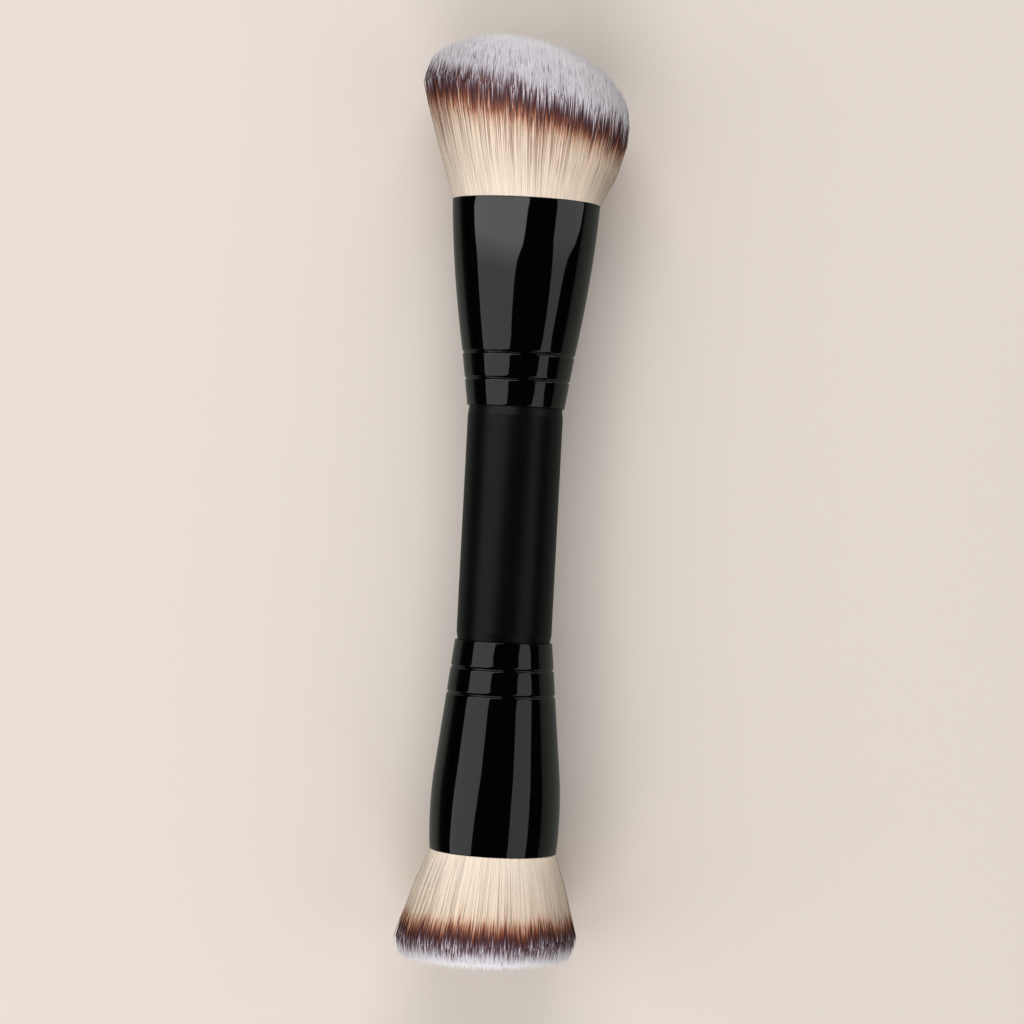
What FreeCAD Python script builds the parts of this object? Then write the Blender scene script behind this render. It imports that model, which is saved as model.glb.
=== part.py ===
import FreeCAD, Part
import math
import os
from collections import namedtuple

# Double ended face brush, lying on a flat surface as it comes to rest.
# A turned stick carries a lacquered metal ferrule at each end. The ferrule at +Y is pressed oval
# and holds an angled tuft, the one at -Y stays round and holds a flat-top tuft.
# Row frame: Y runs along the brush, X across it, Z up from the surface. Millimetres.

# Handle: one turned stick with a spigot at each end
barrel_length = 42.8
barrel_radius = 8.7
barrel_end_narrowing = 0.25
barrel_end_length = 1.6
spigot_length = 11.5
spigot_chamfer = 0.8
spigot_clearance = 0.05

# Both ferrules
ferrule_base_radius = 8.9
ferrule_wall = 0.45
ferrule_lip_break = 0.15
first_groove_at = 4.9
second_groove_at = 9.6
groove_width = 0.8
groove_depth = 0.25

# Round ferrule of the flat-top end, measured from its base
round_length = 38.4
round_cone_length = 25.0
round_cone_end_radius = 11.6
round_shoulder_bulge = 0.27
round_mouth_radius = 11.6

# Oval ferrule of the angled end, measured from its base
oval_length = 37.6
oval_groove_half_width = 10.26
oval_groove_half_depth = 9.6
oval_body_at = 21.5
oval_body_half_width = 12.07
oval_body_half_depth = 10.4
oval_press_length = 8.0
oval_press_half_width = 12.96
oval_press_half_depth = 10.55
oval_mouth_half_width = 13.52
oval_mouth_half_depth = 10.0

# Both tufts: bundled locks of fibre with a shallow valley between each two
lock_count = 48
lock_valley = 0.4
shallowest_valley_share = 0.6
valley_full_at_share = 0.4
lock_tip_unevenness = 0.25
tuft_wall_gap = 0.1
knot_height = 4.0
throat_rise = 3.0

# Angled tuft, heights measured from the ferrule's mouth
angled_crown_half_width = 18.75
angled_crown_half_depth = 13.7
angled_crown_offset = -0.75
angled_rim_height = 18.2
angled_rim_slope = -0.18
angled_apex_height = 29.8
angled_apex_offset = -5.0
angled_high_fullness = 2.8
angled_low_fullness = 2.1
angled_high_flare = 1.2
angled_low_flare = 1.85
angled_edge_softness = 0.52

# Flat-top tuft, heights measured from the ferrule's mouth
flat_crown_radius = 16.3
flat_crown_offset = 0.6
flat_rim_height = 17.7
flat_rim_slope = 0.05
flat_apex_height = 19.9
flat_fullness = 4.0
flat_flare = 1.3
flat_edge_softness = 0.4

# Hidden fixings, from the end of the spigot outwards
plug_clearance = 2.5
plug_thickness = 5.0
thread_width = 0.6
thread_turns = 3
thread_above_root_end = 1.2
thread_gap = 0.05
thread_wall_gap = 0.3

# Soft flats where the two tufts bear on the surface
bearing_flat_depth = 0.4

# Panels round a ferrule and round a knot thread
ferrule_sides = 48
thread_sides = 24
plane_tolerance = 1e-7

# Rings of panels up a tuft: shares of its side's height, then shares of its crown's spread
side_shares = (0.2, 0.45, 0.72, 1.0)
crown_shares = (0.96, 0.85, 0.65, 0.35)

Crown = namedtuple(
    "Crown",
    "half_width half_depth offset rim_height rim_slope apex_height apex_offset"
    " fullness flare edge_softness",
)


def point(across, along, up=0.0):
    return FreeCAD.Vector(across, along, up)


# Skins of flat panels from ring to ring

def oval_ring(half_width, half_depth, along, sides):
    angles = [2 * math.pi * side / sides for side in range(sides)]
    return [point(half_width * math.cos(a), along, half_depth * math.sin(a)) for a in angles]


def flat_face(corners):
    return Part.Face(Part.makePolygon(corners + corners[:1]))


def panel(a, b, c, d):
    """One flat face through four corners, or two where the corners aren't in one plane."""
    normal = (b - a).cross(c - a).normalize()
    if abs(normal.dot(d - a)) < plane_tolerance:
        return [flat_face([a, b, c, d])]
    return [flat_face([a, b, c]), flat_face([a, c, d])]


def band(lower, upper):
    """Panels between two rings with as many corners each."""
    count = len(lower)
    faces = []
    for i in range(count):
        after = (i + 1) % count
        faces += panel(lower[i], lower[after], upper[after], upper[i])
    return faces


def closed_solid(faces):
    return Part.makeSolid(Part.makeShell(faces))


def bands(rings):
    return [face for lower, upper in zip(rings, rings[1:]) for face in band(lower, upper)]


def wall_solid(rings):
    """Wall whose section goes round once, from the first ring through all others and back."""
    return closed_solid(bands(rings + rings[:1]))


def plug_solid(rings):
    return closed_solid([flat_face(rings[0])] + bands(rings) + [flat_face(rings[-1])])


def domed_solid(rings, apex):
    """Flat at its first ring, and closed by a fan of panels from the last one to the apex."""
    last = rings[-1]
    fan = [flat_face([last[i - 1], last[i], apex]) for i in range(len(last))]
    return closed_solid([flat_face(rings[0])] + bands(rings) + fan)


# Handle

def make_handle():
    """Barrel and both spigots, turned in one piece."""
    half = barrel_length / 2
    tip = half + spigot_length
    spigot_radius = ferrule_base_radius - ferrule_wall - spigot_clearance
    upper_end = [
        point(barrel_radius, half - barrel_end_length),
        point(barrel_radius - barrel_end_narrowing, half),
        point(spigot_radius, half),
        point(spigot_radius, tip - spigot_chamfer),
        point(spigot_radius - spigot_chamfer, tip),
        point(0, tip),
    ]
    lower_end = [point(p.x, -p.y) for p in reversed(upper_end)]
    return flat_face(lower_end + upper_end).revolve(point(0, 0), point(0, 1), 360)


# Ferrules, built with their base at the origin and their mouth towards +Y

def round_size(along):
    """Outer half width and half depth of the round ferrule, grooves left out."""
    if along <= round_cone_length:
        share = along / round_cone_length
        radius = ferrule_base_radius + (round_cone_end_radius - ferrule_base_radius) * share
    else:
        share = (along - round_cone_length) / (round_length - round_cone_length)
        straight = round_cone_end_radius + (round_mouth_radius - round_cone_end_radius) * share
        radius = straight + 4 * round_shoulder_bulge * share * (1 - share)
    return radius, radius


def through(places, sizes, along):
    """Value at this place of the smooth curve through the given sizes."""
    total = 0.0
    for i, place in enumerate(places):
        weight = 1.0
        for j, other in enumerate(places):
            if j != i:
                weight *= (along - other) / (place - other)
        total += weight * sizes[i]
    return total


def oval_size(along):
    """Outer half width and half depth of the oval ferrule, grooves left out."""
    if along <= second_groove_at:
        share = along / second_groove_at
        half_width = ferrule_base_radius + (oval_groove_half_width - ferrule_base_radius) * share
        half_depth = ferrule_base_radius + (oval_groove_half_depth - ferrule_base_radius) * share
        return half_width, half_depth
    places = (second_groove_at, oval_body_at, oval_length - oval_press_length, oval_length)
    widths = (oval_groove_half_width, oval_body_half_width, oval_press_half_width, oval_mouth_half_width)
    depths = (oval_groove_half_depth, oval_body_half_depth, oval_press_half_depth, oval_mouth_half_depth)
    return through(places, widths, along), through(places, depths, along)


def between(start, end, parts):
    """Places that divide a stretch evenly, without its start."""
    return [start + (end - start) * part / parts for part in range(1, parts + 1)]


def ferrule_ring(size_at, along, inset):
    half_width, half_depth = size_at(along)
    return oval_ring(half_width - inset, half_depth - inset, along, ferrule_sides)


def make_ferrule(size_at, length, bend_places):
    """Thin wall with two rolled grooves near its base and a broken edge round its mouth."""
    lip = min(ferrule_lip_break, ferrule_wall / 3)
    half_groove = groove_width / 2
    outer = [ferrule_ring(size_at, 0.0, 0.0)]
    for groove_at in (first_groove_at, second_groove_at):
        outer.append(ferrule_ring(size_at, groove_at - half_groove, 0.0))
        outer.append(ferrule_ring(size_at, groove_at, groove_depth))
        outer.append(ferrule_ring(size_at, groove_at + half_groove, 0.0))
    outer += [ferrule_ring(size_at, place, 0.0) for place in bend_places]
    outer.append(ferrule_ring(size_at, length - lip, 0.0))
    outer.append(ferrule_ring(size_at, length, lip))
    return wall_solid(outer + list(reversed(bore_rings(size_at, length))))


def root_end():
    """Place of the tuft's root end, from the ferrule's base."""
    return spigot_length + plug_clearance + plug_thickness


def bore_rings(size_at, length):
    """Rings down the inner face, one at each end of the glue plug so that the plug fits it."""
    lip = min(ferrule_lip_break, ferrule_wall / 3)
    places = [0.0, root_end() - plug_thickness, root_end()]
    places += between(root_end(), length - lip, 3)
    rings = [ferrule_ring(size_at, place, ferrule_wall) for place in places]
    rings.append(ferrule_ring(size_at, length, ferrule_wall - lip))
    return rings


# Tufts, built in their ferrule's frame with their crown towards +Y

def lock_wave(index):
    """Uneven but repeatable share from 0 to 1 for the lock at this place round the tuft."""
    return 0.5 + 0.5 * math.sin(2.4 * index + 1.3 * math.sin(0.7 * index))


def valley_depth(index):
    """Ridges have even places round the tuft, valleys odd ones."""
    if index % 2 == 0:
        return 0.0
    share = shallowest_valley_share + (1 - shallowest_valley_share) * lock_wave(index)
    return lock_valley * share


def knot_radius(size_at):
    """The bound root is round and leaves room for its thread inside the ferrule."""
    inner = min(size_at(root_end())) - ferrule_wall
    return inner - thread_wall_gap - thread_width - thread_gap


def make_tuft(size_at, length, crown):
    """Bundle of fibres from its bound root to its crown.

    The crown's fullness and flare are pairs: the value on the high side (-X), then on the
    low side (+X).
    """
    knot_top = root_end() + knot_height
    throat_at = knot_top + throat_rise
    throat = [size - ferrule_wall - tuft_wall_gap for size in size_at(throat_at)]
    mouth = [size - ferrule_wall - tuft_wall_gap for size in size_at(length)]
    apex = point(crown.apex_offset, length + crown.apex_height)

    def blended(pair, angle):
        low_side = 0.5 + 0.5 * math.cos(angle)
        return pair[0] + (pair[1] - pair[0]) * low_side

    def rim_point(angle):
        across = crown.offset + crown.half_width * math.cos(angle)
        height = crown.rim_height + crown.rim_slope * across
        return point(across, length + height, crown.half_depth * math.sin(angle))

    def side_point(index, angle, share):
        rim = rim_point(angle)
        spread = 1 - (1 - share) ** blended(crown.flare, angle)
        sink = valley_depth(index) * min(1.0, share / valley_full_at_share)
        across = (mouth[0] * (1 - spread) - sink) * math.cos(angle) + rim.x * spread
        up = (mouth[1] * (1 - spread) - sink) * math.sin(angle) + rim.z * spread
        return point(across, length + (rim.y - length) * share, up)

    def crown_point(index, angle, share):
        rim = rim_point(angle)
        rise = (1 - share ** blended(crown.fullness, angle)) ** crown.edge_softness
        sink = valley_depth(index) * share
        uneven = lock_tip_unevenness * (lock_wave(index) - 0.5) * share
        across = apex.x + (rim.x - apex.x) * share - sink * math.cos(angle)
        up = rim.z * share - sink * math.sin(angle)
        return point(across, rim.y + (apex.y - rim.y) * rise + uneven, up)

    def lock_ring(corner_at, share):
        return [corner_at(i, i * math.pi / lock_count, share) for i in range(2 * lock_count)]

    knot = knot_radius(size_at)
    rings = [
        oval_ring(knot, knot, root_end(), 2 * lock_count),
        oval_ring(knot, knot, knot_top, 2 * lock_count),
        oval_ring(throat[0], throat[1], throat_at, 2 * lock_count),
        oval_ring(mouth[0], mouth[1], length, 2 * lock_count),
    ]
    rings += [lock_ring(side_point, share) for share in side_shares]
    rings += [lock_ring(crown_point, share) for share in crown_shares]
    return domed_solid(rings, apex)


# Hidden fixings, in their ferrule's frame

def make_glue_plug(size_at):
    """Set resin that fills the bore under the tuft's root, panel to panel with its wall."""
    top = ferrule_ring(size_at, root_end(), ferrule_wall)
    bottom = ferrule_ring(size_at, root_end() - plug_thickness, ferrule_wall)
    return plug_solid([top, bottom])


def make_knot_thread(size_at):
    """Thread wound round the root, its turns side by side as one ring.

    The middle of each panel, its nearest place to the root, keeps the gap.
    """
    inner = (knot_radius(size_at) + thread_gap) / math.cos(math.pi / thread_sides)
    start = root_end() + thread_above_root_end
    rings = [oval_ring(inner, inner, start, thread_sides)]
    for turn in range(thread_turns):
        crest = inner + thread_width
        dip = inner + thread_width / 2
        rings.append(oval_ring(crest, crest, start + (turn + 0.5) * thread_width, thread_sides))
        rings.append(oval_ring(dip, dip, start + (turn + 1) * thread_width, thread_sides))
    rings.append(oval_ring(inner, inner, start + thread_turns * thread_width, thread_sides))
    return wall_solid(rings)


# Assembly

def at_angled_end(shape):
    return shape.translated(point(0, barrel_length / 2))


def at_flat_end(shape):
    return shape.rotated(point(0, 0), point(0, 0, 1), 180).translated(point(0, -barrel_length / 2))


def laid_down(shape):
    """Tilts the brush so that both tufts bear on the surface, and lifts it there."""
    flat_bearing_at = -(barrel_length / 2 + round_length + flat_rim_height)
    angled_bearing_at = barrel_length / 2 + oval_length + angled_rim_height
    span = angled_bearing_at - flat_bearing_at
    tilt = math.atan2(flat_crown_radius - angled_crown_half_depth, span)
    lift = flat_crown_radius * math.cos(tilt) + flat_bearing_at * math.sin(tilt) - bearing_flat_depth
    tilted = shape.rotated(point(0, 0), point(1, 0), -math.degrees(tilt))
    return tilted.translated(point(0, 0, lift))


def with_bearing_flat(tuft):
    """Soft fibres give way where they bear on the surface, which leaves a small flat."""
    box = tuft.BoundBox
    below = Part.makeBox(box.XLength, box.YLength, -box.ZMin, point(box.XMin, box.YMin, box.ZMin))
    return tuft.cut(below)


def make_nodes():
    angled_crown = Crown(
        half_width=angled_crown_half_width,
        half_depth=angled_crown_half_depth,
        offset=angled_crown_offset,
        rim_height=angled_rim_height,
        rim_slope=angled_rim_slope,
        apex_height=angled_apex_height,
        apex_offset=angled_apex_offset,
        fullness=(angled_high_fullness, angled_low_fullness),
        flare=(angled_high_flare, angled_low_flare),
        edge_softness=angled_edge_softness,
    )
    flat_crown = Crown(
        half_width=flat_crown_radius,
        half_depth=flat_crown_radius,
        offset=flat_crown_offset,
        rim_height=flat_rim_height,
        rim_slope=flat_rim_slope,
        apex_height=flat_apex_height,
        apex_offset=flat_crown_offset,
        fullness=(flat_fullness, flat_fullness),
        flare=(flat_flare, flat_flare),
        edge_softness=flat_edge_softness,
    )
    oval_bends = between(second_groove_at + groove_width / 2, oval_length, 6)[:-1]
    round_bends = [round_cone_length] + between(round_cone_length, round_length, 4)[:-1]
    nodes = {
        "handle": make_handle(),
        "angled_end_ferrule": at_angled_end(make_ferrule(oval_size, oval_length, oval_bends)),
        "angled_tuft": at_angled_end(make_tuft(oval_size, oval_length, angled_crown)),
        "angled_knot_thread": at_angled_end(make_knot_thread(oval_size)),
        "angled_glue_plug": at_angled_end(make_glue_plug(oval_size)),
        "flat_end_ferrule": at_flat_end(make_ferrule(round_size, round_length, round_bends)),
        "flat_top_tuft": at_flat_end(make_tuft(round_size, round_length, flat_crown)),
        "flat_knot_thread": at_flat_end(make_knot_thread(round_size)),
        "flat_glue_plug": at_flat_end(make_glue_plug(round_size)),
    }
    nodes = {name: laid_down(shape) for name, shape in nodes.items()}
    for name in ("angled_tuft", "flat_top_tuft"):
        nodes[name] = with_bearing_flat(nodes[name])
    footprint = Part.makeCompound(list(nodes.values())).BoundBox
    to_origin = point(-footprint.Center.x, -footprint.Center.y, -footprint.ZMin)
    return {name: shape.translated(to_origin) for name, shape in nodes.items()}


os.makedirs("parts", exist_ok=True)
for node, solid in make_nodes().items():
    solid.exportStep(f"parts/{node}.step")
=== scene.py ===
import math

import bmesh
import bpy
import numpy as np
from mathutils import Matrix, Vector


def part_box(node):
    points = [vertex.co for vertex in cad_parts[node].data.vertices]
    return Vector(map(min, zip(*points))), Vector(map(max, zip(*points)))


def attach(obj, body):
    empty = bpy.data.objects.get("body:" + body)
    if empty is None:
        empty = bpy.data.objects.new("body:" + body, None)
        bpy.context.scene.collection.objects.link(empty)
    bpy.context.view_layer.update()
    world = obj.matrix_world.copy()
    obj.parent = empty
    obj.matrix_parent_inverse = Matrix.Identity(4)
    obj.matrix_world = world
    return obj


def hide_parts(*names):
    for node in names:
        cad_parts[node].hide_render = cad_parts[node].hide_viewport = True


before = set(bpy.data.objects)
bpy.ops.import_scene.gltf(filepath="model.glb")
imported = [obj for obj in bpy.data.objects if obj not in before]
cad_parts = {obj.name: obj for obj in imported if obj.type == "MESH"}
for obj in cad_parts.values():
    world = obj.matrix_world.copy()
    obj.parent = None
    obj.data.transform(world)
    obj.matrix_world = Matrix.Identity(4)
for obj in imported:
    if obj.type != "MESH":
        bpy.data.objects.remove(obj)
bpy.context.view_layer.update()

# Handle
# One stick of beech, turned between centres with a spigot at each end for the ferrules.
# It is dipped in soft black lacquer that dries matt, so lights only show on it as broad sheens.

HANDLE_BLACK = (0.0010, 0.0010, 0.0011, 1)
HANDLE_GREY = (0.0022, 0.0022, 0.0024, 1)
HANDLE_ROUGHNESS = 0.33
HANDLE_CLOUDING = 0.05
HANDLE_GRAININESS = 0.06
HANDLE_SPECULAR = 0.14
HANDLE_CLOUDS_PER_M = 90.0
HANDLE_GRAINS_PER_M = 2600.0
GRAIN_STRENGTH = 0.25
GRAIN_HEIGHT = 0.00002


class Wire:
    """A shader socket that can stand in a sum, so that a material reads as its formula."""

    def __init__(self, tree, socket=None):
        self.tree = tree
        self.socket = socket

    def add(self, kind, settings=None, inputs=None, output=0):
        """New node of this kind. Its settings come first, then what its sockets hold."""
        node = self.tree.nodes.new(kind)
        for name, value in (settings or {}).items():
            if name == "stops":
                elements = node.color_ramp.elements
                while len(elements) < len(value):
                    elements.new(1.0)
                for element, (place, colour) in zip(elements, value):
                    element.position = place
                    element.color = colour
            else:
                setattr(node, name, value)
        for name, value in (inputs or {}).items():
            if isinstance(value, Wire):
                self.tree.links.new(value.socket, node.inputs[name])
            else:
                node.inputs[name].default_value = value
        return Wire(self.tree, node.outputs[output] if node.outputs else None)

    def math(self, operation, *values):
        return self.add("ShaderNodeMath", {"operation": operation}, dict(enumerate(values)))

    def __add__(self, other):
        return self.math("ADD", self, other)

    __radd__ = __add__

    def __sub__(self, other):
        return self.math("SUBTRACT", self, other)

    def __rsub__(self, other):
        return self.math("SUBTRACT", other, self)

    def __mul__(self, other):
        return self.math("MULTIPLY", self, other)

    __rmul__ = __mul__

    def blend(self, first, second, way="MIX"):
        """Colour that goes from the first to the second as this value goes from 0 to 1."""
        settings = {"data_type": "RGBA", "blend_type": way}
        return self.add("ShaderNodeMix", settings, {"Factor": self, 6: first, 7: second}, 2)

    def noise(self, place, per_m, detail):
        """Soft random clouds or grains, about this many to the metre."""
        return self.add("ShaderNodeTexNoise", None, {"Vector": place, "Scale": per_m, "Detail": detail})

    def bump(self, strength, depth):
        """Normal of a surface with this height, which counts in units of depth metres."""
        heights = {"Height": self, "Strength": strength, "Distance": depth}
        return self.add("ShaderNodeBump", None, heights)


def new_material(name):
    material = bpy.data.materials.new(name)
    material.use_nodes = True
    material.node_tree.nodes.clear()
    return material, Wire(material.node_tree)


def finish_material(wire, inputs):
    shader = wire.add("ShaderNodeBsdfPrincipled", None, inputs)
    wire.add("ShaderNodeOutputMaterial", None, {"Surface": shader})


def dress(name, material):
    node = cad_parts[name]
    node.data.materials.clear()
    node.data.materials.append(material)


def matt_lacquer():
    material, wire = new_material("matt_black_lacquer")
    place = wire.add("ShaderNodeTexCoord", output="Object")
    grain = wire.noise(place, HANDLE_GRAINS_PER_M, detail=3.0)
    cloud = wire.noise(place, HANDLE_CLOUDS_PER_M, detail=2.0)
    unevenness = HANDLE_CLOUDING * (cloud - 0.5) + HANDLE_GRAININESS * (grain - 0.5)
    finish_material(wire, {
        "Base Color": cloud.blend(HANDLE_BLACK, HANDLE_GREY),
        "Roughness": HANDLE_ROUGHNESS + unevenness,
        "Specular IOR Level": HANDLE_SPECULAR,
        "Normal": grain.bump(GRAIN_STRENGTH, GRAIN_HEIGHT),
    })
    return material


dress("handle", matt_lacquer())


def middle(name):
    low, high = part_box(name)
    return (low + high) / 2


def along_axis(name, end):
    """Least and greatest place of a node's corners along the brush, seen from this end."""
    back = end.inverted()
    places = [(back @ corner.co).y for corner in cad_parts[name].data.vertices]
    return min(places), max(places)


# The brush's own frame: x across, y along towards the angled end, z away from the surface
brush_axis = (middle("angled_knot_thread") - middle("flat_knot_thread")).normalized()
brush_across = Vector((1, 0, 0))
brush_over = brush_across.cross(brush_axis)
brush = Matrix((brush_across, brush_axis, brush_over)).transposed().to_4x4()
brush.translation = middle("handle")

# Each end's frame starts at its ferrule's base, with y towards its tuft
turned_round = brush @ Matrix.Rotation(math.pi, 4, "Z")
angled_base, angled_mouth_at = along_axis("angled_end_ferrule", brush)
flat_base, flat_mouth_at = along_axis("flat_end_ferrule", turned_round)
angled_end = brush @ Matrix.Translation((0, angled_base, 0))
flat_end = turned_round @ Matrix.Translation((0, flat_base, 0))

# Glue plugs
# Each ferrule is filled with amber resin under the root of its tuft, poured in and left to set.
# The plug holds the fibres in the metal, and shows only when the brush is taken apart.

RESIN_DARK = (0.30, 0.13, 0.035, 1)
RESIN_LIGHT = (0.52, 0.28, 0.09, 1)
RESIN_ROUGHNESS = 0.16
RESIN_CLOUDING = 0.2
RESIN_CLOUDS_PER_M = 160.0
BUBBLES_PER_M = 900.0
BUBBLE_STRENGTH = 0.3
BUBBLE_HEIGHT = 0.0001


def set_resin():
    material, wire = new_material("amber_resin")
    place = wire.add("ShaderNodeTexCoord", output="Object")
    cloud = wire.noise(place, RESIN_CLOUDS_PER_M, detail=3.0)
    bubbles = wire.add("ShaderNodeTexVoronoi", None, {"Vector": place, "Scale": BUBBLES_PER_M})
    finish_material(wire, {
        "Base Color": cloud.blend(RESIN_DARK, RESIN_LIGHT),
        "Roughness": RESIN_ROUGHNESS + RESIN_CLOUDING * cloud,
        "Normal": bubbles.bump(BUBBLE_STRENGTH, BUBBLE_HEIGHT),
    })
    return material


resin = set_resin()
dress("angled_glue_plug", resin)
dress("flat_glue_plug", resin)

# Knot threads
# Waxed thread, wound three turns round the root of each tuft, keeps it together until it is glued.
# Its strands lie across the brush's length and are twisted.

THREAD_LIGHT = (0.62, 0.55, 0.44, 1)
THREAD_SHADE = (0.30, 0.25, 0.18, 1)
THREAD_ROUGHNESS = 0.62
TWISTS_PER_M = 210.0
TWIST_UNEVENNESS = 1.0
TWIST_STRENGTH = 0.6
TWIST_HEIGHT = 0.00008


def waxed_thread():
    material, wire = new_material("waxed_thread")
    place = wire.add("ShaderNodeTexCoord", output="Object")
    settings = {"wave_type": "BANDS", "bands_direction": "DIAGONAL"}
    wave = {"Vector": place, "Scale": TWISTS_PER_M, "Distortion": TWIST_UNEVENNESS}
    twist = wire.add("ShaderNodeTexWave", settings, wave)
    finish_material(wire, {
        "Base Color": twist.blend(THREAD_SHADE, THREAD_LIGHT),
        "Roughness": THREAD_ROUGHNESS,
        "Normal": twist.bump(TWIST_STRENGTH, TWIST_HEIGHT),
    })
    return material


thread = waxed_thread()
dress("angled_knot_thread", thread)
dress("flat_knot_thread", thread)

# Ferrules
# Each is a thin aluminium tube, drawn to a cone, with two grooves rolled in near the handle.
# The angled end's is pressed oval at its mouth. Both are sprayed gloss black and polished.

FERRULE_SIDES = 144
BASE_RADIUS = 0.0089
WALL = 0.00045
GROOVES_AT = (0.0049, 0.0096)
GROOVE_WIDTH = 0.0007
GROOVE_DEPTH = 0.00022
GROOVE_FLOOR_SHARE = 0.2
BAND_BULGE = 0.00001
EDGE_HOLD = 0.0003
BASE_BREAK = 0.00006
LIP_ROUND = 0.00014
BODY_RINGS = 16
BORE_RINGS = (0.6, 0.3, 0.0)
SHARP_EDGE = math.radians(12)
EDGE_BEVEL = 0.00008
ROUND_LENGTH = 0.0384
ROUND_CONE_LENGTH = 0.025
ROUND_MOUTH_RADIUS = 0.0116
ROUND_SHOULDER_BULGE = 0.00027
OVAL_LENGTH = 0.0376
OVAL_PLACES = (0.0096, 0.0215, 0.0296, 0.0376)
OVAL_HALF_WIDTHS = (0.01026, 0.01207, 0.01296, 0.01352)
OVAL_HALF_DEPTHS = (0.0096, 0.0104, 0.01055, 0.0100)
GLOSS_BLACK = (0.0005, 0.0005, 0.0006, 1)
GLOSS_ROUGHNESS = 0.03
GLOSS_HAZE = 0.04
GLOSS_IOR = 1.45
FLOWS_PER_M = 260.0
HAZE_PER_M = 1400.0
FLOW_STRENGTH = 0.2
FLOW_HEIGHT = 0.00003


def round_size(at):
    """Half width and half depth of the round ferrule's outside at a place from its base."""
    if at <= ROUND_CONE_LENGTH:
        radius = BASE_RADIUS + (ROUND_MOUTH_RADIUS - BASE_RADIUS) * at / ROUND_CONE_LENGTH
        return radius, radius
    share = (at - ROUND_CONE_LENGTH) / (ROUND_LENGTH - ROUND_CONE_LENGTH)
    radius = ROUND_MOUTH_RADIUS + 4 * ROUND_SHOULDER_BULGE * share * (1 - share)
    return radius, radius


# One cubic curve each for the oval ferrule's widths and depths past its grooves
oval_widths = np.polyfit(OVAL_PLACES, OVAL_HALF_WIDTHS, len(OVAL_PLACES) - 1)
oval_depths = np.polyfit(OVAL_PLACES, OVAL_HALF_DEPTHS, len(OVAL_PLACES) - 1)


def oval_size(at):
    """Half width and half depth of the oval ferrule's outside at a place from its base."""
    if at <= OVAL_PLACES[0]:
        share = at / OVAL_PLACES[0]
        half_width = BASE_RADIUS + (OVAL_HALF_WIDTHS[0] - BASE_RADIUS) * share
        half_depth = BASE_RADIUS + (OVAL_HALF_DEPTHS[0] - BASE_RADIUS) * share
        return half_width, half_depth
    return float(np.polyval(oval_widths, at)), float(np.polyval(oval_depths, at))


def ferrule_profile(length):
    """Places from the base and insets from the outside, up the outside and down the bore."""
    half_groove = GROOVE_WIDTH / 2
    half_floor = half_groove * GROOVE_FLOOR_SHARE
    profile = [(0.0, BASE_BREAK), (BASE_BREAK, 0.0), (EDGE_HOLD, 0.0)]
    for start, groove in zip((0.0, GROOVES_AT[0]), GROOVES_AT):
        profile.append(((start + groove) / 2, -BAND_BULGE))
        profile.append((groove - half_groove - EDGE_HOLD, 0.0))
        profile.append((groove - half_groove, 0.0))
        profile.append((groove - half_floor, GROOVE_DEPTH))
        profile.append((groove + half_floor, GROOVE_DEPTH))
        profile.append((groove + half_groove, 0.0))
        profile.append((groove + half_groove + EDGE_HOLD, 0.0))
    body_start = GROOVES_AT[1] + half_groove + EDGE_HOLD
    body_length = length - LIP_ROUND - body_start
    profile += [(body_start + body_length * ring / BODY_RINGS, 0.0) for ring in range(1, BODY_RINGS)]
    profile += [(length - LIP_ROUND, 0.0), (length, LIP_ROUND)]
    profile += [(length, WALL - LIP_ROUND), (length - LIP_ROUND, WALL)]
    profile += [(length * share, WALL) for share in BORE_RINGS]
    return profile


def make_ferrule(name, size_at, length, end, material):
    """The tube's outline is spun round the axis, then each ring is pulled out to its own size."""
    profile = ferrule_profile(length)
    shape = bmesh.new()
    corners = [shape.verts.new((1.0 - inset, place, 0.0)) for place, inset in profile]
    edges = [shape.edges.new(pair) for pair in zip(corners, corners[1:] + corners[:1])]
    bmesh.ops.spin(
        shape, geom=corners + edges, cent=(0, 0, 0), axis=(0, 1, 0), dvec=(0, 0, 0),
        angle=2 * math.pi, steps=FERRULE_SIDES, use_merge=True,
    )
    for corner in shape.verts:
        inset = 1.0 - math.hypot(corner.co.x, corner.co.z)
        across, up = corner.co.x / (1.0 - inset), corner.co.z / (1.0 - inset)
        half_width, half_depth = size_at(corner.co.y)
        corner.co.x = across * (half_width - inset)
        corner.co.z = up * (half_depth - inset)
    sharp = [edge for edge in shape.edges if edge.calc_face_angle(0.0) > SHARP_EDGE]
    bmesh.ops.bevel(
        shape, geom=sharp, offset=EDGE_BEVEL, offset_type="OFFSET", affect="EDGES",
        segments=2, profile=0.5, material=-1,
    )
    bmesh.ops.recalc_face_normals(shape, faces=shape.faces)
    bmesh.ops.transform(shape, matrix=end, verts=shape.verts)
    mesh = bpy.data.meshes.new(name)
    shape.to_mesh(mesh)
    shape.free()
    mesh.shade_smooth()
    mesh.materials.append(material)
    piece = bpy.data.objects.new(name, mesh)
    bpy.context.collection.objects.link(piece)
    return piece


def gloss_lacquer():
    material, wire = new_material("gloss_black_lacquer")
    place = wire.add("ShaderNodeTexCoord", output="Object")
    flow = wire.noise(place, FLOWS_PER_M, detail=1.0)
    haze = wire.noise(place, HAZE_PER_M, detail=4.0)
    finish_material(wire, {
        "Base Color": GLOSS_BLACK,
        "Roughness": GLOSS_ROUGHNESS + GLOSS_HAZE * haze,
        "IOR": GLOSS_IOR,
        "Normal": flow.bump(FLOW_STRENGTH, FLOW_HEIGHT),
    })
    return material


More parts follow.
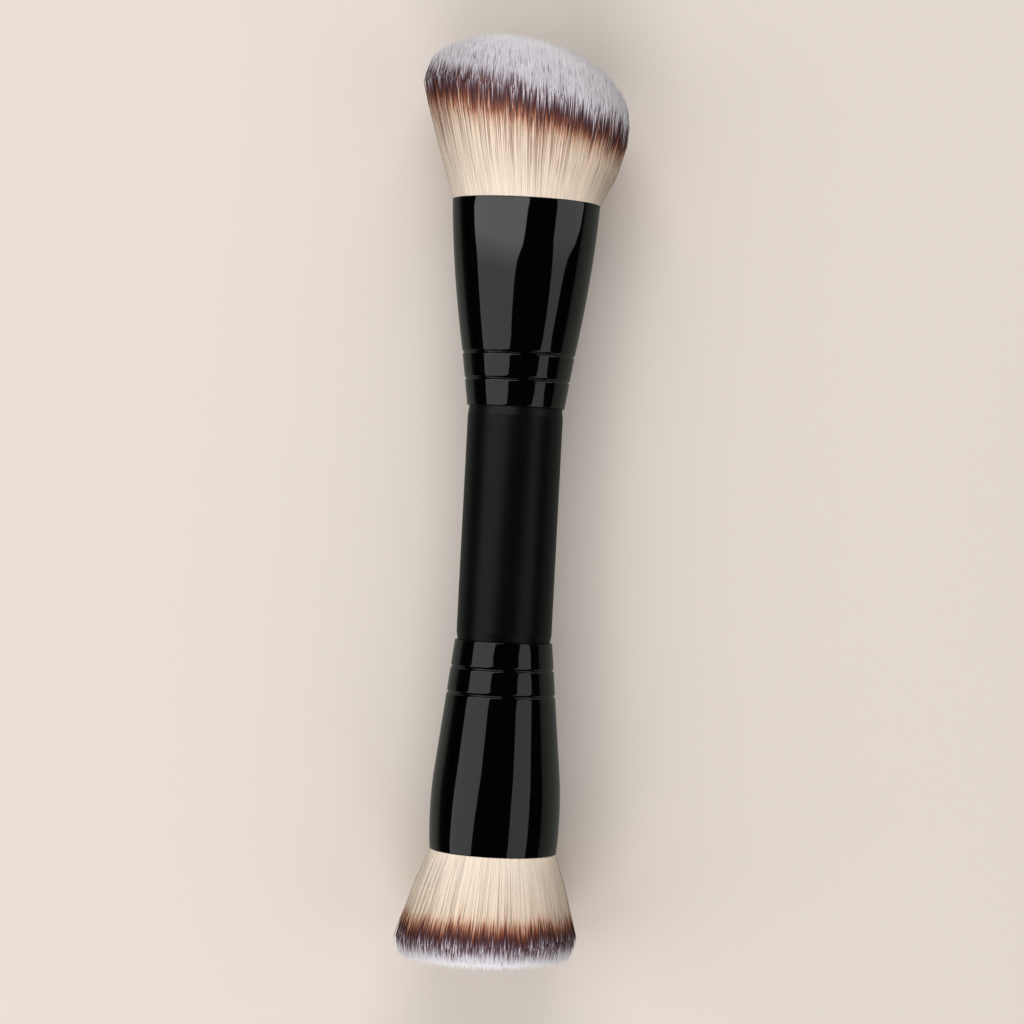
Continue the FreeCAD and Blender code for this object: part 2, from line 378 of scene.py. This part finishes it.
lacquer = gloss_lacquer()
angled_ferrule = make_ferrule("angled_end_ferrule_shell", oval_size, OVAL_LENGTH, angled_end, lacquer)
flat_ferrule = make_ferrule("flat_end_ferrule_shell", round_size, ROUND_LENGTH, flat_end, lacquer)
for piece, name in ((angled_ferrule, "angled_end_ferrule"), (flat_ferrule, "flat_end_ferrule")):
    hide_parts(name)
    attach(piece, "root")

# Tufts
# Bundles of fine dyed nylon fibres with tapered tips. Each is white at its tip, then dark brown,
# then red-brown, and cream down to the ferrule. The angled tuft is cut and shaped to a slanted dome,
# the other to a nearly flat top with soft edges.

FIBRE_CORNERS = 3
FLAT_SIDE_OUT = math.radians(30)
FIBRE_RADIUS = 0.000088
FIBRE_WEIGHTS = (0.75, 1.2)
FIBRE_TAPER_AT = 0.55
FIBRE_TAPER = 0.4
ROOT_DEPTH = 0.0012
MOUTH_GAP = 0.0001
TIP_UNEVENNESS = 0.0006
TIP_MIDDLE = -0.0005
TIP_REACH = (-0.0022, 0.0008)
SWAY = 0.00012
STRAY_SHARE = 0.012
STRAY_REACH = (0.0003, 0.0011)
LOCK_WIDTH = 0.0006
LOCK_RADIUS = 0.016
LOCK_PULL = 0.2
LOCK_PULL_GROWTH = 4
LOCK_DEPTH_SHARE = 0.6
SURFACE_GAP = 0.00005
OWN_ROUNDNESS = 0.22
SKIN_CLOSING = 0.9
SKIN_CLOSING_GROWTH = 6
SIDE_SINK = 0.00015
CROWN_SINK = 0.003

# Each tuft's sizes from its mouth, in metres. fullness, flare, outer_tips and dye_shift hold a value
# for the high side and one for the low side, and dye_stretch one for the dark and one for the cream.
ANGLED_CROWN = {
    "half_width": 0.01875,
    "half_depth": 0.0137,
    "offset": -0.00075,
    "rim_height": 0.0182,
    "rim_slope": -0.18,
    "apex_height": 0.0298,
    "apex_offset": -0.005,
    "fullness": (2.8, 2.1),
    "flare": (1.2, 1.85),
    "softness": 0.52,
    "outer_tips": (0.925, 0.985),
    "wisp_share": 0.4,
    "early_dark": 0.0016,
    "dye_shift": (-0.0004, -0.0008),
    "cream_from": 0.0055,
    "dye_stretch": (1.0, 1.1),
    "dye_raggedness": 1.0,
}
FLAT_CROWN = {
    "half_width": 0.0163,
    "half_depth": 0.0163,
    "offset": 0.0006,
    "rim_height": 0.0177,
    "rim_slope": 0.05,
    "apex_height": 0.0199,
    "apex_offset": 0.0006,
    "fullness": (4.0, 4.0),
    "flare": (1.3, 1.3),
    "softness": 0.4,
    "outer_tips": (0.95, 0.95),
    "wisp_share": 0.05,
    "early_dark": 0.0,
    "dye_shift": (0.0014, 0.0014),
    "cream_from": 0.005,
    "dye_stretch": (0.2, 2.0),
    "dye_raggedness": 0.7,
}

# Colour by distance from the tip, in millimetres along the fibre
BANDS = (
    (0.0, (0.97, 0.95, 0.98, 1)),
    (1.9, (0.92, 0.88, 0.94, 1)),
    (3.3, (0.33, 0.25, 0.29, 1)),
    (4.3, (0.085, 0.038, 0.046, 1)),
    (5.9, (0.095, 0.030, 0.028, 1)),
    (7.1, (0.34, 0.105, 0.052, 1)),
    (8.4, (0.74, 0.46, 0.31, 1)),
    (10.8, (0.90, 0.73, 0.57, 1)),
    (22.0, (0.91, 0.77, 0.63, 1)),
)
BAND_SPAN = 0.040
MAP_MARGIN = 0.001
MAP_SIDE_STEP = 0.002
DARK_FROM = 0.004
DYE_DEPTHS = (0.0, 0.002, 0.0045, 0.0075)
DYE_UNEVENNESS = (0.0, 0.0012, 0.0012, 0.0006)
DYE_SHIFTED_AT = 0.002
STRETCH_UNEVENNESS = 0.07
EARLY_DARK_SIDE = 0.55
EARLY_DARK_WEIGHTS = (0.3, 1.3)
EARLY_DARK_START = 0.0012
EARLY_DARK_END = 0.0062
EARLY_DARK_FADE = 0.003
DYE_TINT = (0.42, 0.36, 0.38, 1)
DYE_TINT_STRENGTH = 0.22
FIBRE_ROUGHNESS = 0.45
FIBRE_SPECULAR = 0.25

# Some fibres, the wisps, were dyed further down, so their brown fades late into the cream
WISP_SIDE = 0.45
WISP_STRETCH = (0.75, 1.15)
WISP_LEAST_DYE = 0.9
WISP_DYES = (0.92, 0.98)
PLAIN_DYES = (0.01, 0.88)
WISP_BROWN = (0.36, 0.20, 0.15, 1)
WISP_STRENGTH = 0.8
WISP_PLACES = ((0.0, 0.0), (7.8, 0.0), (9.4, 1.0), (12.5, 0.7), (16.0, 0.0))


def fibre_block(name, count, rings):
    """As many copies of one three-sided tapering fibre, all in one place until they are laid."""
    shape = bmesh.new()
    bmesh.ops.create_cone(
        shape, cap_ends=True, segments=FIBRE_CORNERS, radius1=1.0, radius2=0.0, depth=1.0,
    )
    bmesh.ops.translate(shape, vec=(0, 0, 0.5), verts=shape.verts)
    for ring in rings:
        whole = shape.verts[:] + shape.edges[:] + shape.faces[:]
        bmesh.ops.bisect_plane(shape, geom=whole, plane_co=(0, 0, ring), plane_no=(0, 0, 1))
    bmesh.ops.reverse_faces(shape, faces=shape.faces)
    mesh = bpy.data.meshes.new(name)
    shape.to_mesh(mesh)
    shape.free()
    single = bpy.data.objects.new(name, mesh)
    bpy.context.collection.objects.link(single)
    copies = single.modifiers.new("Copies", "ARRAY")
    copies.count = count
    copies.use_relative_offset = False
    evaluated = single.evaluated_get(bpy.context.evaluated_depsgraph_get())
    block = bpy.data.meshes.new_from_object(evaluated)
    bpy.data.objects.remove(single)
    return block


def by_side(pair, angle):
    """Value between the pair: the first on the high side of the tuft, the second on the low one."""
    low_side = 0.5 + 0.5 * np.cos(angle)
    return pair[0] + (pair[1] - pair[0]) * low_side


def tip_height(crown, angle, spread):
    """Place of a tip along the brush for a fibre at this share of the way from the middle."""
    reach = by_side(crown["outer_tips"], angle) * spread
    rim_across = crown["offset"] + crown["half_width"] * np.cos(angle)
    rim_along = crown["rim_height"] + crown["rim_slope"] * rim_across
    dome = crown["apex_height"] - rim_along
    return rim_along + dome * (1 - reach ** by_side(crown["fullness"], angle)) ** crown["softness"]


def tuft_skin(crown, mouth, angle, share):
    """Across, along and up of the tuft's skin, from the mouth (0) to the outer tips (1)."""
    flare = by_side(crown["flare"], angle)
    fullness = by_side(crown["fullness"], angle)
    rim_across = crown["offset"] + crown["half_width"] * np.cos(angle)
    rim_up = crown["half_depth"] * np.sin(angle)
    rim_along = crown["rim_height"] + crown["rim_slope"] * rim_across
    dome = crown["apex_height"] - rim_along
    along = share * tip_height(crown, angle, 1.0)
    side = np.clip(along / rim_along, 0, 1)
    spread = 1 - (1 - side) ** flare
    rise = np.clip((along - rim_along) / dome, 0, 1)
    closing = (1 - rise ** (1 / crown["softness"])) ** (1 / fullness)
    side_across = mouth[0] * np.cos(angle) * (1 - spread) + rim_across * spread
    side_up = mouth[1] * np.sin(angle) * (1 - spread) + rim_up * spread
    across = crown["apex_offset"] + (side_across - crown["apex_offset"]) * closing
    return across, along, side_up * closing


def lay_fibres(block, count, crown, mouth, end, spread, start, chance):
    """Bends and places each copy on its own path. Gives back what the colour map needs.

    spread is each fibre's share of the way from the tuft's middle to its skin, and start the
    share of its length where it begins.
    """
    per_fibre = len(block.vertices) // count
    base = np.zeros(len(block.vertices) * 3)
    block.vertices.foreach_get("co", base)
    base = base.reshape(count, per_fibre, 3)[0]
    around = np.arctan2(base[:, 1], base[:, 0]) - FLAT_SIDE_OUT
    wide = ~np.isclose(base[:, 2], 1.0)
    share = start + (1 - start) * base[:, 2]

    angle = chance.uniform(-math.pi, math.pi, count)
    lock = np.round(angle * LOCK_RADIUS * spread / LOCK_WIDTH) * LOCK_WIDTH / (LOCK_RADIUS * spread)
    lock_spread = np.round(spread * LOCK_RADIUS / LOCK_WIDTH) * LOCK_WIDTH / LOCK_RADIUS
    lock_spread = np.minimum(lock_spread, 1.0)
    weight = chance.uniform(*FIBRE_WEIGHTS, count)
    tip_extra = np.clip(chance.normal(TIP_MIDDLE, TIP_UNEVENNESS, count), *TIP_REACH)
    sway = chance.normal(0, SWAY, (count, 2))
    is_stray = chance.uniform(0, 1, count) < STRAY_SHARE
    stray = np.where(is_stray, chance.uniform(*STRAY_REACH, count), 0.0)

    top = tip_height(crown, angle, spread) + tip_extra
    places = np.zeros((count, per_fibre, 3))
    facing = np.zeros((count, per_fibre, 3))
    for corner in range(per_fibre):
        s = share[corner]
        pull = LOCK_PULL * s ** LOCK_PULL_GROWTH
        bent_angle = angle + (lock - angle) * pull
        bent_spread = spread + (lock_spread - spread) * pull * LOCK_DEPTH_SHARE
        across, along, up = tuft_skin(crown, mouth, bent_angle, np.full(count, s))
        centre = crown["apex_offset"] * s
        bow = s * (2 - s)
        x = centre * (1 - bent_spread) + across * bent_spread + sway[:, 0] * bow
        z = up * bent_spread + sway[:, 1] * bow
        out = stray * s * s
        x += np.cos(angle) * out
        z += np.sin(angle) * out
        thin = 1.0 - FIBRE_TAPER * max(0.0, s - FIBRE_TAPER_AT) / (1 - FIBRE_TAPER_AT)
        radius = FIBRE_RADIUS * weight * thin * wide[corner]
        turn = around[corner] + angle
        places[:, corner, 0] = x + radius * np.cos(turn)
        places[:, corner, 1] = s * top - ROOT_DEPTH * (1 - s) * (start == 0)
        places[:, corner, 2] = z + radius * np.sin(turn)
        skin_across = (x - crown["offset"] * s) / crown["half_width"]
        skin_up = z / crown["half_depth"]
        facing[:, corner, 0] = skin_across + OWN_ROUNDNESS * np.cos(turn)
        facing[:, corner, 1] = SKIN_CLOSING * s ** SKIN_CLOSING_GROWTH
        facing[:, corner, 2] = skin_up + OWN_ROUNDNESS * np.sin(turn)
    turned = np.array(end.to_3x3()).T
    flat = places.reshape(-1, 3) @ turned + np.array(end.translation)
    flat[:, 2] = np.maximum(flat[:, 2], SURFACE_GAP)
    block.vertices.foreach_set("co", flat.ravel())
    normals = facing.reshape(-1, 3) @ turned
    normals /= np.linalg.norm(normals, axis=1)[:, None]
    block.shade_smooth()
    block.normals_split_custom_set_from_vertices(normals)
    return angle, share, top


def map_fibres(block, count, angle, share, top, crown, chance):
    """Map for the colours: how the fibre was dyed across, and distance from its tip up."""
    wisp = (chance.uniform(0, 1, count) < crown["wisp_share"]) & (np.cos(angle) < WISP_SIDE)
    wisp_stretch = chance.uniform(*WISP_STRETCH, count)
    plain_stretch = chance.normal(1.0, STRETCH_UNEVENNESS, count)
    stretch = np.where(wisp, wisp_stretch, plain_stretch)
    distance = (1 - share)[None, :] * (top + ROOT_DEPTH)[:, None]
    dark_stretch, cream_stretch = crown["dye_stretch"]
    dark = np.clip(distance - DARK_FROM, 0, crown["cream_from"] - DARK_FROM)
    cream = np.maximum(distance - crown["cream_from"], 0)
    dyed = np.minimum(distance, DARK_FROM)
    dyed += (dark * dark_stretch + cream * cream_stretch) * stretch[:, None]
    shifted = np.minimum(distance, DYE_SHIFTED_AT) / DYE_SHIFTED_AT
    dyed += shifted * by_side(crown["dye_shift"], angle)[:, None]
    ragged = crown["dye_raggedness"] * np.interp(distance, DYE_DEPTHS, DYE_UNEVENNESS)
    dyed += ragged * chance.normal(0, 1, count)[:, None]
    high_side = np.clip(EARLY_DARK_SIDE - np.cos(angle), 0, 1)
    high_side *= chance.uniform(*EARLY_DARK_WEIGHTS, count)
    early = np.clip(distance / EARLY_DARK_START, 0, 1)
    early *= np.clip((EARLY_DARK_END - distance) / EARLY_DARK_FADE, 0, 1)
    dyed += crown["early_dark"] * high_side[:, None] * early
    wisp_dye = chance.uniform(*WISP_DYES, count)
    plain_dye = chance.uniform(*PLAIN_DYES, count)
    dye = np.where(wisp, wisp_dye, plain_dye)
    corners = np.zeros(len(block.loops), dtype=np.int64)
    block.loops.foreach_get("vertex_index", corners)
    per_fibre = len(share)
    side = np.arange(per_fibre) % FIBRE_CORNERS
    u = (dye[:, None] + MAP_SIDE_STEP * side[None, :]).ravel()[corners]
    v = np.clip(dyed / BAND_SPAN, MAP_MARGIN, 1 - MAP_MARGIN).ravel()[corners]
    layer = block.uv_layers.new(name="OFBake")
    layer.uv.foreach_set("vector", np.column_stack((u, v)).ravel())


def dyed_fibre():
    material, wire = new_material("dyed_fibre")
    dye_map = wire.add("ShaderNodeUVMap", {"uv_map": "OFBake"})
    dye = wire.add("ShaderNodeSeparateXYZ", None, {"Vector": dye_map}, "X")
    distance = wire.add("ShaderNodeSeparateXYZ", None, {"Vector": dye_map}, "Y")
    stops = [(place / 1000 / BAND_SPAN, colour) for place, colour in BANDS]
    band = wire.add("ShaderNodeValToRGB", {"stops": stops}, {"Fac": distance})
    tint = (DYE_TINT_STRENGTH * dye * dye * dye).blend(band, DYE_TINT, "MULTIPLY")
    steps = [(place / 1000 / BAND_SPAN, (level, level, level, 1)) for place, level in WISP_PLACES]
    streak = wire.add("ShaderNodeValToRGB", {"stops": steps}, {"Fac": distance})
    is_wisp = dye.math("GREATER_THAN", dye, WISP_LEAST_DYE)
    finish_material(wire, {
        "Base Color": (WISP_STRENGTH * is_wisp * streak).blend(tint, WISP_BROWN),
        "Roughness": FIBRE_ROUGHNESS,
        "Specular IOR Level": FIBRE_SPECULAR,
    })
    return material


fibre_colour = dyed_fibre()


def add_fibres(name, count, rings, crown, mouth, end, spread, start, seed):
    chance = np.random.default_rng(seed)
    block = fibre_block(name, count, rings)
    block.name = name
    low, high = spread
    shares = np.sqrt(chance.uniform(low * low, high * high, count))
    angle, share, top = lay_fibres(block, count, crown, mouth, end, shares, start, chance)
    map_fibres(block, count, angle, share, top, crown, chance)
    block.materials.append(fibre_colour)
    piece = bpy.data.objects.new(name, block)
    bpy.context.collection.objects.link(piece)
    return piece


CORE_MERGE = 0.000002
CORE_TIP_DISTANCE = 0.0012
CORE_DYE = 0.5
CORE_DYE_SWING = 0.4
CORE_DYE_WAVES = 7


def tuft_core(name, node, crown, end):
    """Closed body of the tuft just under its outer fibres, from a copy of the plain solid."""
    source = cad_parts[node].data
    shape = bmesh.new()
    shape.from_mesh(source)
    bmesh.ops.remove_doubles(shape, verts=shape.verts, dist=CORE_MERGE)
    bmesh.ops.recalc_face_normals(shape, faces=shape.faces)
    shape.normal_update()
    towards_tip = end.to_3x3() @ Vector((0, 1, 0))
    sunk = []
    for corner in shape.verts:
        crown_share = max(0.0, corner.normal.dot(towards_tip))
        sunk.append(corner.co - corner.normal * (SIDE_SINK + (CROWN_SINK - SIDE_SINK) * crown_share))
    for corner, place in zip(shape.verts, sunk):
        corner.co = place
    mesh = bpy.data.meshes.new(name)
    shape.to_mesh(mesh)
    shape.free()
    mesh.shade_smooth()
    places = np.zeros(len(mesh.vertices) * 3)
    mesh.vertices.foreach_get("co", places)
    back = end.inverted()
    local = places.reshape(-1, 3) @ np.array(back.to_3x3()).T + np.array(back.translation)
    across = (local[:, 0] - crown["offset"]) / crown["half_width"]
    angle = np.arctan2(local[:, 2] / crown["half_depth"], across)
    reach = tip_height(crown, angle, np.ones(len(angle)))
    distance = np.maximum(reach - local[:, 1], CORE_TIP_DISTANCE)
    corners = np.zeros(len(mesh.loops), dtype=np.int64)
    mesh.loops.foreach_get("vertex_index", corners)
    layer = mesh.uv_layers.new(name="OFBake")
    u = CORE_DYE + CORE_DYE_SWING * np.cos(angle * CORE_DYE_WAVES)
    v = np.clip(distance / BAND_SPAN, MAP_MARGIN, 1 - MAP_MARGIN)
    layer.uv.foreach_set("vector", np.column_stack((u[corners], v[corners])).ravel())
    mesh.materials.append(fibre_colour)
    piece = bpy.data.objects.new(name, mesh)
    bpy.context.collection.objects.link(piece)
    return piece


# Rings along a fibre, counts of fibres, and shares of the way from a tuft's middle to its skin
SIDE_RINGS = (0.38, 0.68, 0.87)
CROWN_RINGS = (0.8,)
SIDE_COUNT = 8700
CROWN_COUNT = 18500
SKIN_SHARE = 0.96
DOME_SHARE = 0.6
CROWN_START = 0.5
angled_mouth = brush @ Matrix.Translation((0, angled_mouth_at, 0))
flat_mouth = turned_round @ Matrix.Translation((0, flat_mouth_at, 0))
oval_inside = [size - WALL - MOUTH_GAP for size in oval_size(OVAL_LENGTH)]
round_inside = [size - WALL - MOUTH_GAP for size in round_size(ROUND_LENGTH)]

angled_core = tuft_core("angled_tuft_core", "angled_tuft", ANGLED_CROWN, angled_mouth)
angled_fibres = [
    add_fibres(
        "angled_tuft_side_fibres", SIDE_COUNT, SIDE_RINGS, ANGLED_CROWN, oval_inside, angled_mouth,
        spread=(SKIN_SHARE, 1.0), start=0.0, seed=11,
    ),
    add_fibres(
        "angled_tuft_dome_fibres", CROWN_COUNT, CROWN_RINGS, ANGLED_CROWN, oval_inside, angled_mouth,
        spread=(DOME_SHARE, SKIN_SHARE), start=CROWN_START, seed=12,
    ),
    add_fibres(
        "angled_tuft_middle_fibres", CROWN_COUNT, CROWN_RINGS, ANGLED_CROWN, oval_inside, angled_mouth,
        spread=(0.0, DOME_SHARE), start=CROWN_START, seed=13,
    ),
]
flat_core = tuft_core("flat_top_tuft_core", "flat_top_tuft", FLAT_CROWN, flat_mouth)
flat_fibres = [
    add_fibres(
        "flat_top_tuft_side_fibres", SIDE_COUNT, SIDE_RINGS, FLAT_CROWN, round_inside, flat_mouth,
        spread=(SKIN_SHARE, 1.0), start=0.0, seed=21,
    ),
    add_fibres(
        "flat_top_tuft_middle_fibres", CROWN_COUNT, CROWN_RINGS, FLAT_CROWN, round_inside, flat_mouth,
        spread=(0.0, SKIN_SHARE), start=CROWN_START, seed=22,
    ),
]
tufts = {"angled_tuft": [angled_core] + angled_fibres, "flat_top_tuft": [flat_core] + flat_fibres}
for node, pieces in tufts.items():
    for piece in pieces:
        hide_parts(node)
        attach(piece, "root")

# Surface, light and camera
# The brush lies on a plain pale surface, where both tufts bear, which is painted darker only in
# reflections. Soft lights on both sides and past both ends light it plainly, and two glowing sheets
# bent round it show only as reflections.

SURFACE_COLOUR = (0.71, 0.64, 0.577, 1)
SURFACE_SIZE = 6.0
SURFACE_ROUGHNESS = 0.8
FLECKS_PER_M = 300.0
FLECK_STRENGTH = 0.1
FLECK_HEIGHT = 0.0001

# Painted reflection: in reflections the surface is painted dim as painted shade, and painted black past
# a line on the brush's left
SURFACE_MIRRORED_SHADE = (0.25, 0.25, 0.22, 1)
MIRRORED_FROM = -0.065
MIRRORED_OVER = 0.025

bpy.ops.mesh.primitive_plane_add(size=SURFACE_SIZE)
surface = bpy.context.object
surface.name = "surface"
material, wire = new_material("pale_surface")
place = wire.add("ShaderNodeTexCoord", output="Object")
fleck = wire.noise(place, FLECKS_PER_M, detail=3.0)
# Painted shade in reflections: glossy rays see the evenly lit surface dim, and black past the line on
# the brush's left
mirrored = wire.add("ShaderNodeLightPath", output="Is Glossy Ray")
across = wire.add("ShaderNodeSeparateXYZ", None, {"Vector": place}, "X")
right_of_painted_black = wire.add("ShaderNodeMapRange", None, {
    "Value": across, "From Min": MIRRORED_FROM, "From Max": MIRRORED_FROM + MIRRORED_OVER,
})
finish_material(wire, {
    "Base Color": mirrored.blend(SURFACE_COLOUR, right_of_painted_black.blend((0, 0, 0, 1), SURFACE_MIRRORED_SHADE)),
    "Roughness": SURFACE_ROUGHNESS,
    "Normal": fleck.bump(FLECK_STRENGTH, FLECK_HEIGHT),
})
surface.data.materials.append(material)


def soft_light(name, aside, along, distance, width, length, radiance):
    """Panel that faces the brush, this many degrees to the side and towards the angled end.

    It doesn't show in the lacquer.
    """
    data = bpy.data.lights.new(name, "AREA")
    data.shape = "RECTANGLE"
    data.size = width
    data.size_y = length
    data.energy = radiance * math.pi * width * length
    lamp = bpy.data.objects.new(name, data)
    bpy.context.collection.objects.link(lamp)
    aside = math.radians(aside)
    along = math.radians(along)
    level = math.cos(along)
    back = Vector((math.sin(aside) * level, math.sin(along), math.cos(aside) * level))
    sideways = Vector((0, 1, 0)).cross(back).normalized()
    lamp.matrix_world = Matrix((sideways, back.cross(sideways), back)).transposed().to_4x4()
    lamp.location = back * distance
    lamp.visible_glossy = False


soft_light(
    "left_lamp", aside=-48, along=-10, distance=0.70,
    width=0.64, length=0.51, radiance=1.75,
)
soft_light(
    "right_lamp", aside=49, along=-10, distance=0.70,
    width=0.42, length=0.51, radiance=0.9,
)
soft_light(
    "far_lamp", aside=-5, along=50, distance=0.90,
    width=0.72, length=0.50, radiance=4.0,
)
soft_light(
    "near_lamp", aside=-5, along=-50, distance=0.90,
    width=0.72, length=0.50, radiance=3.85,
)

# Place along the brush in millimetres, then where the sheet starts and ends round it in degrees
LEFT_SHEET = (
    (-125, -83, -40), (-90, -82, -38), (-56, -77, -31.5), (-27, -74, -27), (-12, -71.5, -24),
    (0, -71, -21), (10, -71, -18), (21, -71, -15), (46, -71, -11), (55, -72, -8.5),
    (61, -73, -5), (67, -73.5, -1.5), (80, -72.5, 0.7), (110, -70, 3.2), (160, -70, 5),
)
RIGHT_SHEET = (
    (-125, 25, 60), (-90, 25.8, 60), (-56, 27.1, 61), (-30, 29.5, 63), (-12, 32.5, 67),
    (0, 36, 65), (10, 40, 61.5), (20, 42.5, 60), (30, 43, 61), (45, 42, 63.5),
    (52, 41.5, 67), (58, 40.5, 77), (66, 39, 83), (96, 39, 85), (160, 39, 85),
)
SHEET_DISTANCE = 0.15
SHEET_STEPS = 12

# Each sheet's glow, and its brighter glow past a place along the brush
LEFT_GLOW = ((1.38, 1.38, 1.38, 1), (2.7, 2.7, 2.7, 1))
RIGHT_GLOW = ((1.05, 1.05, 1.05, 1), (1.45, 1.45, 1.45, 1))
BRIGHT_FROM = 0.047
BRIGHT_OVER = 0.02


def glowing_sheet(name, rows, glow):
    """Sheet of light bent round the brush's axis, seen by nothing but reflections."""
    shape = bmesh.new()
    gaps = len(rows) - 1
    bmesh.ops.create_grid(shape, x_segments=SHEET_STEPS, y_segments=gaps, size=0.5)
    for corner in shape.verts:
        along, start, stop = rows[round((corner.co.y + 0.5) * gaps)]
        turn = math.radians(start + (stop - start) * (corner.co.x + 0.5))
        corner.co = (SHEET_DISTANCE * math.sin(turn), along / 1000, SHEET_DISTANCE * math.cos(turn))
    mesh = bpy.data.meshes.new(name)
    shape.to_mesh(mesh)
    shape.free()
    material, wire = new_material(name)
    place = wire.add("ShaderNodeTexCoord", output="Object")
    along = wire.add("ShaderNodeSeparateXYZ", None, {"Vector": place}, "Y")
    share = wire.add("ShaderNodeMapRange", None, {
        "Value": along, "From Min": BRIGHT_FROM, "From Max": BRIGHT_FROM + BRIGHT_OVER,
    })
    finish_material(wire, {
        "Base Color": (0, 0, 0, 1),
        "Roughness": 1.0,
        "Specular IOR Level": 0.0,
        "Emission Color": share.blend(*glow),
        "Emission Strength": 1.0,
    })
    mesh.materials.append(material)
    sheet = bpy.data.objects.new(name, mesh)
    bpy.context.collection.objects.link(sheet)
    sheet.matrix_world = brush
    sheet.visible_camera = False
    sheet.visible_diffuse = False
    sheet.visible_shadow = False
    sheet.visible_transmission = False


glowing_sheet("left_sheet", LEFT_SHEET, LEFT_GLOW)
glowing_sheet("right_sheet", RIGHT_SHEET, RIGHT_GLOW)

# The air is a weak fill on all sides, nearly dark in reflections, and pale where it is seen
AIR_FILL = 0.22
AIR_MIRRORED = 0.012
BACKDROP = 0.72

world = bpy.data.worlds.new("studio")
world.use_nodes = True
world.node_tree.nodes.clear()
air = Wire(world.node_tree)
seen = air.add("ShaderNodeLightPath", output="Is Camera Ray")
mirrored = air.add("ShaderNodeLightPath", output="Is Glossy Ray")
fill = air.add("ShaderNodeBackground", None, {
    "Color": (1, 1, 1, 1),
    "Strength": AIR_FILL + (BACKDROP - AIR_FILL) * seen - (AIR_FILL - AIR_MIRRORED) * mirrored,
})
air.add("ShaderNodeOutputWorld", None, {"Surface": fill})
bpy.context.scene.world = world

# The camera looks down on the brush, turned and aimed so that it lies in the picture as it should
VIEW_DISTANCE = 0.534
VIEW_PIXELS = 2920.0
IMAGE_PIXELS = 1024
VIEW_TURN = math.radians(2.986)
AIM_PIXEL = (510.8, 503.0)
AIM_ALONG = 0.0039
FILM_WIDTH = 36.0
NEAREST_SEEN = 0.01

aim = brush @ Vector((0, AIM_ALONG, 0))
view_right = math.cos(VIEW_TURN) * brush_across + math.sin(VIEW_TURN) * brush_axis
view_up = -math.sin(VIEW_TURN) * brush_across + math.cos(VIEW_TURN) * brush_axis
pixel_size = VIEW_DISTANCE / VIEW_PIXELS
camera_data = bpy.data.cameras.new("camera")
camera_data.sensor_width = FILM_WIDTH
camera_data.lens = FILM_WIDTH * VIEW_PIXELS / IMAGE_PIXELS
camera_data.clip_start = NEAREST_SEEN
camera = bpy.data.objects.new("camera", camera_data)
bpy.context.collection.objects.link(camera)
camera.matrix_world = Matrix((view_right, view_up, brush_over)).transposed().to_4x4()
camera.location = (
    aim + brush_over * VIEW_DISTANCE
    + view_right * (IMAGE_PIXELS / 2 - AIM_PIXEL[0]) * pixel_size
    - view_up * (IMAGE_PIXELS / 2 - AIM_PIXEL[1]) * pixel_size
)
bpy.context.scene.camera = camera
bpy.context.scene.view_settings.view_transform = "Standard"
